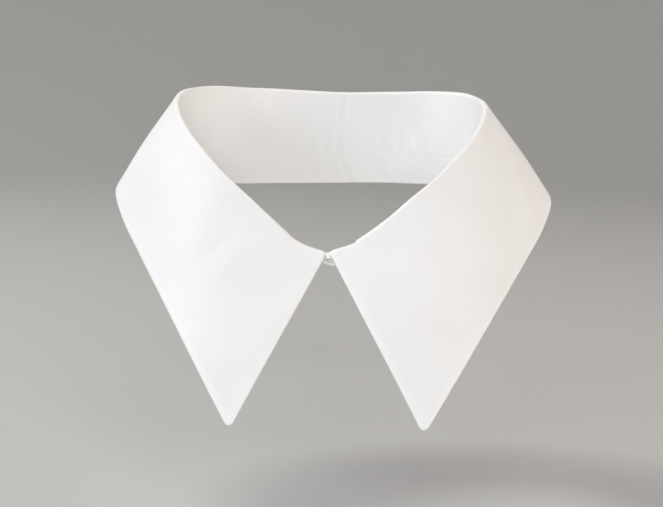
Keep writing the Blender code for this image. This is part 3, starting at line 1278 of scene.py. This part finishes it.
@dataclass
class Neckband:
    """The strip along the neck edge, folded at its foot, with a tongue that fills the notch."""

    shape: CollarShape
    seam: PressedSeam
    foot_radius: float = 0.65
    foot_depth: float = 0.62
    tongue_end: float = 3.0
    stand_back: float = 0.3
    notch_half: float = 1.38
    notch_shift: float = -0.10
    tongue_gap: float = 0.05
    notch_rise: float = 2.45
    notch_bluntness: float = 7.0
    notch_bulge: float = 1.05
    bulge_from: float = 0.44
    bulge_to: float = 0.62
    tongue_columns: int = 60
    lip_from: float = -6.5
    lip_full: float = -4.3
    lip_drop: float = -0.55
    lip_tilt: float = 0.17
    sag_places: tuple[float, ...] = (-60.0, -36.0, -6.0, 20.0, 60.0)
    sag_drops: tuple[float, ...] = (0.0, 1.1, 0.8, 0.25, 0.0)
    closest: float = 0.004
    edge_columns: tuple[float, ...] = (0.0, 0.12, 0.35, 0.7, 1.15)
    full_height: float = 3.0  # where the strip is lower, its edge columns lie closer
    middle_steps: int = 14
    # the share of the crease relief that is painted as shade in troughs and light on ridges
    crease_shading_share: float = 0.4
    wave_share: float = 0.5
    calm_foot: float = 1.6  # creases fade out over this distance from the foot
    calm_head: float = 1.2  # and from the head
    proud_height: float = 0.06
    proud_width: float = 1.6
    proud_from: float = 8.0
    proud_to: float = 22.0
    proud_start: float = 0.3
    pale_share: float = 0.6
    pale_from: float = 0.8
    pale_to: float = 1.6
    # painted light on the tongue, which lightens the shade that falls on it in the notch
    tongue_painted_light: float = 1.0

    def heights(self, height: float) -> np.ndarray:
        """How far up the strip its columns of points lie, closer together at both edges.

        Args:
            height: the strip's height.

        Returns:
            The height of each column.
        """
        low = np.array(self.edge_columns) * min(1.0, height / self.full_height)
        middle = np.linspace(low[-1], height - low[-1], self.middle_steps)
        return np.concatenate((low[:-1], middle, height - low[-2::-1]))

    def column(self, station: float) -> np.ndarray:
        """The neck side of the strip at one station.

        Args:
            station: where along the collar.

        Returns:
            The points from its foot up.
        """
        foot, top = self.shape.stand_line(station)
        height = self.shape.band_height(station)
        return foot + self.heights(height)[:, None] * unit(top - foot)

    def tongue(self) -> tuple[np.ndarray, np.ndarray, np.ndarray]:
        """The left end carried on: how it fills the notch, then runs under the right wing.

        Returns:
            The columns of points from the tongue's end, how far along each lies, and how much of
            the notch's height each fills.
        """
        end = self.column(-1.0)
        height = self.shape.band_height(-1.0)
        places = np.linspace(self.tongue_end, end[0, 0] + self.tongue_gap, self.tongue_columns)
        aside = np.abs(places - self.shape.front_shift() - self.notch_shift)
        share = np.clip(aside / self.notch_half, 0.0, 1.0)
        fill = 1.0 - share**self.notch_bluntness
        columns = np.repeat(end[None], len(places), axis=0)
        columns[:, :, 0] += (places - end[0, 0])[:, None]
        columns[:, :, 2] += self.notch_rise * fill[:, None] * self.heights(height) / height
        return columns, self.shape.fold_length([-1.0])[0] - (places - end[0, 0]), fill

    def lip(self, face: np.ndarray, up: np.ndarray) -> np.ndarray:
        """How far the front end's lower edge hangs down, or is raised where this is below 0.

        Args:
            face: the strip's points.
            up: the share of the strip's height at which each lies.

        Returns:
            The drop of each point.
        """
        across = face[:, :1, 0]
        shown = (face[:, :1, 1] < 0.0) & (across < self.tongue_end + self.stand_back / 2.0)
        near = ease(across, self.lip_from, self.lip_full) * shown
        return near * (self.lip_drop + self.lip_tilt * (across - self.lip_full)) * (1.0 - up)

    def sag(self, face: np.ndarray, up: np.ndarray) -> np.ndarray:
        """How far the lower edge hangs down at the back, with arguments like those of lip."""
        back = face[:, :1, 1] > 0.0
        return np.interp(face[:, :1, 0], self.sag_places, self.sag_drops) * back * (1.0 - up)

    def strip(self) -> tuple[ClothGrid, np.ndarray, np.ndarray, np.ndarray]:
        """The neck side of the strip, from the tongue's end round to the right end.

        Returns:
            The strip's face, the station of each row of points, the share of the strip's height at
            which each point lies, and how much of the notch's height each row of the tongue fills.
        """
        per_station = (SECTIONS[-2].fold_x - SECTIONS[-1].fold_x) * LAST
        run = self.tongue_end + self.stand_back - SECTIONS[-1].fold_x - self.shape.front_shift()
        end = 1.0 - run / per_station
        stations = [place for place in self.shape.all_stations() if place < end - self.closest]
        stations.append(end)
        tongue, tongue_along, fill = self.tongue()
        face = np.concatenate((tongue, [self.column(station) for station in stations]))
        places = np.array([-1.0] * len(tongue) + stations)
        tall = [self.shape.band_height(place) for place in places]
        up = np.array([self.heights(height) / height for height in tall])
        face[..., 2] -= self.lip(face, up) + self.sag(face, up)
        along = np.concatenate((tongue_along, self.shape.fold_length(stations)))
        return ClothGrid(face, along, running_length(face, 1)), places, up, fill

    def build(self, cloth: bpy.types.Material) -> bpy.types.Object:
        """Makes the strip and dresses it.

        Args:
            cloth: its material.

        Returns:
            The strip's object.
        """
        grid, places, up, fill = self.strip()
        sweep = grid.weave_places()[..., 0]
        ends = np.minimum(sweep - sweep[0], sweep[-1] - sweep)
        foot = np.minimum(grid.across, ends)
        head = grid.across[:, -1:] - grid.across
        drop = rounding(foot, self.foot_radius, self.foot_depth)
        drop = np.maximum(drop, self.seam.drop(head))
        lift = grid.relief(BAND_CREASES, self.wave_share)
        lift *= ease(foot, 0.0, self.calm_foot) * ease(head, 0.0, self.calm_head)
        proud = self.proud_height * np.exp(-((head / self.proud_width) ** 2))
        proud *= ease(grid.along, self.proud_from, self.proud_to)[:, None]
        lift += proud * ease(head, 0.0, self.proud_start)
        front = drop - lift
        depths = np.array([self.shape.band_depth(place) for place in places])
        back = depths[:, None] - drop
        bulge = ease(up[: len(fill)], self.bulge_from, self.bulge_to)
        back[: len(fill)] += self.notch_bulge * fill[:, None] * bulge
        # the folded foot and the ends are whitened as the turned edges are: partly the doubled cloth,
        # partly a painted highlight
        whitening_and_highlight = self.pale_share * (1.0 - ease(foot, self.pale_from, self.pale_to))
        # painted light: the whole tongue is whitened so that it reads lighter than the shade in the
        # notch
        whitening_and_highlight[: len(fill)] = self.tongue_painted_light
        return cloth_shell("neckband_cloth", grid, front, back, whitening_and_highlight, self.crease_shading_share * lift, cloth)


class StitchKind(Enum):
    """What a row of sewing is made of."""

    RUNNING = "running"
    WRAPPED = "wrapped"


@dataclass(frozen=True)
class StitchRow:
    """A row of like stitches along a line."""

    name: str
    kind: StitchKind
    pitch: float
    length: float
    thickness: float
    seed: int
    least_scale: float = 0.88
    most_scale: float = 1.08
    strand_sides: int = 8
    strand_rings: int = 7
    ring_steps: int = 18
    ring_sides: int = 7

    def tree(self, thread: bpy.types.Material) -> bpy.types.NodeTree:
        """Builds the node tree that lays the stitches.

        Args:
            thread: the thread's material.

        Returns:
            The tree, with named inputs for the stitches' sizes.
        """
        tree = bpy.data.node_groups.new(self.name + "_sewing", "GeometryNodeTree")
        face = tree.interface
        face.new_socket("Line", in_out="INPUT", socket_type="NodeSocketGeometry")
        for name in ("Pitch", "Length", "Thickness"):
            face.new_socket(name, in_out="INPUT", socket_type="NodeSocketFloat")
        face.new_socket("Seed", in_out="INPUT", socket_type="NodeSocketInt")
        face.new_socket("Stitches", in_out="OUTPUT", socket_type="NodeSocketGeometry")
        add, join = tree.nodes.new, tree.links.new
        given, result = add("NodeGroupInput"), add("NodeGroupOutput")
        curve = add("GeometryNodeMeshToCurve")
        join(given.outputs["Line"], curve.inputs["Mesh"])
        evenly = add("GeometryNodeResampleCurve")
        evenly.mode = "LENGTH"
        join(curve.outputs["Curve"], evenly.inputs["Curve"])
        join(given.outputs["Pitch"], evenly.inputs["Length"])
        tangent = add("GeometryNodeInputTangent")
        turn = add("FunctionNodeAlignRotationToVector")
        turn.axis = "X" if self.kind is StitchKind.RUNNING else "Z"
        join(tangent.outputs[0], turn.inputs["Vector"])
        wobble = add("FunctionNodeRandomValue")
        wobble.data_type = "FLOAT"
        wobble.inputs[2].default_value = self.least_scale
        wobble.inputs[3].default_value = self.most_scale
        join(given.outputs["Seed"], wobble.inputs["Seed"])
        laid = add("GeometryNodeInstanceOnPoints")
        join(evenly.outputs["Curve"], laid.inputs["Points"])
        join(self.stitch(tree, given), laid.inputs["Instance"])
        join(turn.outputs[0], laid.inputs["Rotation"])
        join(wobble.outputs[1], laid.inputs["Scale"])
        real = add("GeometryNodeRealizeInstances")
        join(laid.outputs[0], real.inputs[0])
        smooth = add("GeometryNodeSetShadeSmooth")
        join(real.outputs[0], smooth.inputs["Geometry"])
        dressed = add("GeometryNodeSetMaterial")
        dressed.inputs["Material"].default_value = thread
        join(smooth.outputs[0], dressed.inputs["Geometry"])
        join(dressed.outputs[0], result.inputs[0])
        return tree

    def stitch(self, tree: bpy.types.NodeTree, given: bpy.types.Node) -> Socket:
        """Adds the nodes of one stitch: a short strand with rounded ends, or a ring of thread.

        Args:
            tree: the row's node tree.
            given: its input node, with the stitches' sizes.

        Returns:
            The output that holds the stitch.
        """
        add, join = tree.nodes.new, tree.links.new
        if self.kind is StitchKind.RUNNING:
            ball = add("GeometryNodeMeshUVSphere")
            ball.inputs["Segments"].default_value = self.strand_sides
            ball.inputs["Rings"].default_value = self.strand_rings
            ball.inputs["Radius"].default_value = HALF
            size = add("ShaderNodeCombineXYZ")
            join(given.outputs["Length"], size.inputs[0])
            join(given.outputs["Thickness"], size.inputs[1])
            join(given.outputs["Thickness"], size.inputs[2])
            drawn = add("GeometryNodeTransform")
            join(ball.outputs["Mesh"], drawn.inputs["Geometry"])
            join(size.outputs[0], drawn.inputs["Scale"])
            return drawn.outputs[0]
        ring = add("GeometryNodeCurvePrimitiveCircle")
        ring.inputs["Resolution"].default_value = self.ring_steps
        join(given.outputs["Length"], ring.inputs["Radius"])
        strand = add("GeometryNodeCurvePrimitiveCircle")
        strand.inputs["Resolution"].default_value = self.ring_sides
        half = add("ShaderNodeMath")
        half.operation = "MULTIPLY"
        half.inputs[1].default_value = HALF
        join(given.outputs["Thickness"], half.inputs[0])
        join(half.outputs[0], strand.inputs["Radius"])
        tube = add("GeometryNodeCurveToMesh")
        join(ring.outputs["Curve"], tube.inputs["Curve"])
        join(strand.outputs["Curve"], tube.inputs["Profile Curve"])
        return tube.outputs[0]

    def sew(self, line: Sequence[np.ndarray], thread: bpy.types.Material) -> bpy.types.Object:
        """Lays the row along a line and turns it into a plain mesh.

        Args:
            line: the points that the row follows, in millimetres.
            thread: the thread's material.

        Returns:
            The row's object.
        """
        guide_mesh = bpy.data.meshes.new(self.name + "_line")
        pairs = [(index, index + 1) for index in range(len(line) - 1)]
        guide_mesh.from_pydata([tuple(point * MM) for point in line], pairs, [])
        guide = linked(self.name + "_guide", guide_mesh)
        modifier = guide.modifiers.new("Sewing", "NODES")
        modifier.node_group = self.tree(thread)
        given = {
            "Pitch": self.pitch * MM,
            "Length": self.length * MM,
            "Thickness": self.thickness * MM,
            "Seed": self.seed,
        }
        for item in modifier.node_group.interface.items_tree:
            if item.name in given:
                modifier[item.identifier] = given[item.name]
        return placed(self.name, fixed_mesh(guide, self.name), thread)


@dataclass
class Sewing:
    """The rows of sewing that show on the cloth."""

    shape: CollarShape
    felled: StitchRow = StitchRow("band_back_stitches", StitchKind.RUNNING, 2.3, 1.8, 0.26, 5)
    felled_below: float = 1.3
    start: float = -0.965
    end: float = 0.925
    line_points: int = 320

    def line(self) -> list[np.ndarray]:
        """The line of the stitches, on the outer side of the band just under its head.

        Returns:
            The line's points.
        """
        points = []
        for station in np.linspace(self.start, self.end, self.line_points):
            foot, top = self.shape.stand_line(station)
            outward = self.shape.fold_frame(station)[2]
            height = self.shape.band_height(station)
            height -= min(self.felled_below, height / 2.0)
            points.append(foot + height * unit(top - foot) + self.shape.band_depth(station) * outward)
        return points

    def build(self, thread: bpy.types.Material) -> list[bpy.types.Object]:
        """Sews the band's inner fold down on the outer side."""
        return [self.felled.sew(self.line(), thread)]


@dataclass
class Closure:
    """A hook on the right end and an eye on the left, sewn in front of the band."""

    shape: CollarShape
    wire_radius: float = 0.2
    wire_steps: int = 12
    wire_roundness: int = 5
    end_share: float = 0.6  # of a strand's radius, at its two ends
    hook_height: float = 1.6
    air: float = 0.3
    leaves: float = 2.0
    eye_route: tuple[Place, ...] = (
        (-2.4, 0.0, 1.1),
        (-0.6, 0.0, 0.75),
        (0.3, 0.0, 0.4),
        (0.75, 0.0, 0.0),
        (0.4, 0.0, -0.42),
        (-0.3, 0.0, -0.62),
        (-2.1, 0.0, -0.72),
    )
    hook_route: tuple[Place, ...] = (
        (2.1, 0.0, 0.0),
        (1.7, -0.4, 0.0),
        (1.1, -0.72, 0.0),
        (0.2, -0.72, 0.0),
        (-0.3, -0.5, 0.0),
        (-0.35, -0.1, 0.0),
        (-0.1, 0.08, 0.0),
    )
    bar_route: tuple[Place, ...] = (
        (-2.8, -0.1, 1.2),
        (-1.6, -0.35, 1.8),
        (-0.2, -0.45, 2.1),
        (0.9, -0.45, 1.5),
        (1.7, -0.4, 0.1),
        (2.6, -0.1, -1.6),
    )
    bar_radius: float = 0.17
    wrapped: tuple[tuple[str, Place, Place], ...] = (
        ("eye_thread_lower", (-2.0, 0.0, -0.72), (-0.35, 0.0, -0.62)),
        ("eye_thread_upper", (-2.4, 0.0, 1.1), (-1.7, 0.0, 0.97)),
        ("hook_thread", (1.1, -0.72, 0.0), (1.95, -0.15, 0.0)),
        ("hook_thread_front", (0.45, -0.72, 0.0), (0.95, -0.72, 0.0)),
    )
    thread_pitch: float = 0.26
    thread_thickness: float = 0.22

    def middle(self) -> np.ndarray:
        """The middle of the closure, in front of the band.

        Returns:
            The point that the routes start from.
        """
        front = self.shape.section_at(1.0)
        face_y = front.fold_y + self.shape.roll_front - self.leaves - self.air
        wire_y = face_y - self.air - self.wire_radius
        return np.array((self.shape.front_shift(), wire_y, front.neck_z + self.hook_height))

    def wire(
        self,
        name: str,
        route: Sequence[Place],
        radius: float,
        finish: bpy.types.Material,
    ) -> bpy.types.Object:
        """A round strand through the points of its route, with closed ends.

        Args:
            name: the piece's name.
            route: its points, from the middle of the closure.
            radius: the strand's radius.
            finish: its material.

        Returns:
            The strand's object.
        """
        middle = self.middle()
        points = smooth_route([middle + np.array(point) for point in route], self.wire_steps)
        curve = bpy.data.curves.new(name, "CURVE")
        curve.dimensions = "3D"
        curve.bevel_depth = radius * MM
        curve.bevel_resolution = self.wire_roundness
        curve.use_fill_caps = True
        spline = curve.splines.new("POLY")
        spline.points.add(len(points) - 1)
        for place, point in zip(spline.points, points):
            place.co = (*(point * MM), 1.0)
        spline.points[0].radius = self.end_share
        spline.points[-1].radius = self.end_share
        mesh = fixed_mesh(linked(name + "_line", curve), name)
        mesh.shade_smooth()
        return placed(name, mesh, finish)

    def build(self, metal: bpy.types.Material, thread: bpy.types.Material) -> list[bpy.types.Object]:
        """Makes the two wires, the thread bar over them and the thread wound on them.

        Args:
            metal: the wires' material.
            thread: the thread's material.

        Returns:
            The objects: the eye, the hook, the bar, then the wound thread.
        """
        middle = self.middle()
        made = [
            self.wire("eye_wire", self.eye_route, self.wire_radius, metal),
            self.wire("hook_wire", self.hook_route, self.wire_radius, metal),
            self.wire("thread_bar", self.bar_route, self.bar_radius, thread),
        ]
        ring = self.wire_radius + self.thread_thickness / 2.0
        sizes = (self.thread_pitch, ring, self.thread_thickness)
        for seed, (name, start, end) in enumerate(self.wrapped):
            row = StitchRow(name, StitchKind.WRAPPED, *sizes, seed)
            made.append(row.sew([middle + np.array(start), middle + np.array(end)], thread))
        return made


@dataclass(frozen=True)
class FloorFinish:
    """A plain pale floor that runs up behind into a wall."""

    name: str = "pale_floor"
    colour: Colour = (0.50, 0.503, 0.505, 1.0)
    roughness: float = 0.9
    specular: float = 0.1

    def material(self) -> bpy.types.Material:
        """Builds the floor's material.

        Returns:
            The material.
        """
        board = NodeBoard(self.name)
        board.shader.inputs["Base Color"].default_value = self.colour
        board.shader.inputs["Roughness"].default_value = self.roughness
        board.shader.inputs["Specular IOR Level"].default_value = self.specular
        return board.material


@dataclass(frozen=True)
class SoftLight:
    """A large soft lamp."""

    name: str
    place: Place
    size: float
    watts: float
    colour: tuple[float, float, float]

    def build(self, target: Vector) -> None:
        """Hangs the lamp and turns it to the collar.

        Args:
            target: the point that it is turned to, in metres.
        """
        lamp = bpy.data.lights.new(self.name, "AREA")
        lamp.shape = "DISK"
        lamp.size = self.size
        lamp.energy = self.watts
        lamp.color = self.colour
        made = linked(self.name, lamp)
        made.location = self.place
        made.rotation_euler = (target - Vector(self.place)).to_track_quat("-Z", "Y").to_euler()


@dataclass
class Studio:
    """The camera at the photo's angle, the floor and soft light."""

    target: Place = (0.8, 0.0, -21.6)
    distance: float = 850.0
    elevation: float = 10.0
    roll: float = 1.45
    millimetres_each_pixel: float = 0.405
    sensor: float = 36.0
    clip_start: float = 0.02  # in metres, as the end is
    clip_end: float = 20.0
    floor_height: float = -118.0
    floor_sides: int = 96
    curve_steps: int = 16
    wall_start: float = 900.0
    wall_radius: float = 750.0
    wall_height: float = 2600.0
    ambient: tuple[float, float, float] = (1.0, 1.0, 1.0)
    ambient_strength: float = 0.02
    lights: tuple[SoftLight, ...] = (
        SoftLight("key_light", (-0.95, -0.78, 0.40), 0.5, 4.7, (0.73, 0.785, 1.0)),
        SoftLight("front_light", (0.05, -1.15, 0.50), 0.9, 8.9, (1.0, 0.978, 0.929)),
        SoftLight("upper_left_light", (-0.6, 0.35, 1.0), 0.6, 10.2, (1.0, 0.976, 0.890)),
        SoftLight("right_light", (1.2, 0.05, 0.35), 0.7, 6.9, (1.0, 0.875, 0.812)),
    )

    def build(self) -> None:
        """Sets up the camera, the floor and the light."""
        self.camera()
        self.floor()
        self.lamps()

    def camera(self) -> None:
        """Puts the camera where the photo was taken from."""
        camera = bpy.data.cameras.new("photo_camera")
        focal_pixels = self.distance / self.millimetres_each_pixel
        camera.sensor_width = self.sensor
        camera.lens = focal_pixels * self.sensor / PHOTO_WIDTH
        camera.clip_start = self.clip_start
        camera.clip_end = self.clip_end
        tilt = math.radians(self.elevation)
        back = Vector((0.0, -math.cos(tilt), math.sin(tilt)))
        turn = (-back).to_track_quat("-Z", "Y").to_matrix().to_4x4()
        place = (Vector(self.target) + back * self.distance) * MM
        roll = Matrix.Rotation(math.radians(self.roll), 4, "Z")
        made = linked("photo_camera", camera)
        made.matrix_world = Matrix.Translation(place) @ turn @ roll
        bpy.context.scene.camera = made

    def floor(self) -> None:
        """Lays a round floor, which curves up into a wall all round."""
        line = [(0.0, 0.0), (self.wall_start, 0.0)]
        for step in range(1, self.curve_steps + 1):
            angle = math.pi / 2.0 * step / self.curve_steps
            rise = self.wall_radius * (1.0 - math.cos(angle))
            line.append((self.wall_start + self.wall_radius * math.sin(angle), rise))
        line.append((line[-1][0], self.wall_height))
        turns = [2.0 * math.pi * turn / self.floor_sides for turn in range(self.floor_sides)]
        points = [(0.0, 0.0, self.floor_height)]
        for out, rise in line[1:]:
            points += [(out * math.cos(t), out * math.sin(t), self.floor_height + rise) for t in turns]
        sides = self.floor_sides
        faces = [[0, 1 + turn, 1 + (turn + 1) % sides] for turn in range(sides)]
        for ring in range(len(line) - 2):
            first = 1 + ring * sides
            for turn in range(sides):
                after = (turn + 1) % sides
                faces.append([first + turn, first + sides + turn, first + sides + after, first + after])
        mesh = plain_mesh("studio_floor", np.array(points), faces)
        placed("studio_floor", mesh, FloorFinish().material())

    def lamps(self) -> None:
        """Sets the even light of the room, the lamps and plain colour management."""
        world = bpy.data.worlds.new("studio_light")
        world.use_nodes = True
        sky = world.node_tree.nodes["Background"]
        sky.inputs["Color"].default_value = (*self.ambient, 1.0)
        sky.inputs["Strength"].default_value = self.ambient_strength
        bpy.context.scene.world = world
        bpy.context.scene.view_settings.view_transform = "Standard"
        for light in self.lights:
            light.build(Vector(self.target) * MM)


@dataclass(frozen=True)
class Cut:
    """The flat size of a cloth piece before it was sewn, in metres."""

    width: float
    length: float
    area: float


def report(piece: bpy.types.Object) -> None:
    """Logs a piece's name and how many faces it has."""
    log.info("%s: %d faces", piece.name, len(piece.data.polygons))


def main() -> None:
    """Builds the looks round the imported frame, piece by piece."""
    logging.basicConfig(level=logging.INFO, format="%(name)s %(message)s")
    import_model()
    shape = CollarShape()
    cloth = PoplinFinish().material()
    thread = ThreadFinish().material()
    metal = WireFinish().material()

    upper = UpperCollar(shape, TurnedEdge(), PressedSeam()).build(cloth)
    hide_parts("upper_collar")
    left = UnderCollar(shape, TurnedEdge(), PressedSeam(), Side.LEFT).build(cloth)
    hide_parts("under_collar_left")
    right = UnderCollar(shape, TurnedEdge(), PressedSeam(), Side.RIGHT).build(cloth)
    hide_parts("under_collar_right")
    band = Neckband(shape, PressedSeam()).build(cloth)
    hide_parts("neckband")
    sewing = Sewing(shape).build(thread)
    eye, hook, *legs = Closure(shape).build(metal, thread)
    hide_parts("eye")
    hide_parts("hook")

    for piece in (upper, left, right, band, *sewing, *legs):
        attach(piece, "root")
        report(piece)
    for piece in (eye, hook):
        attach(piece, "root")
        report(piece)

    Studio().build()


if __name__ == "__main__":
    main()
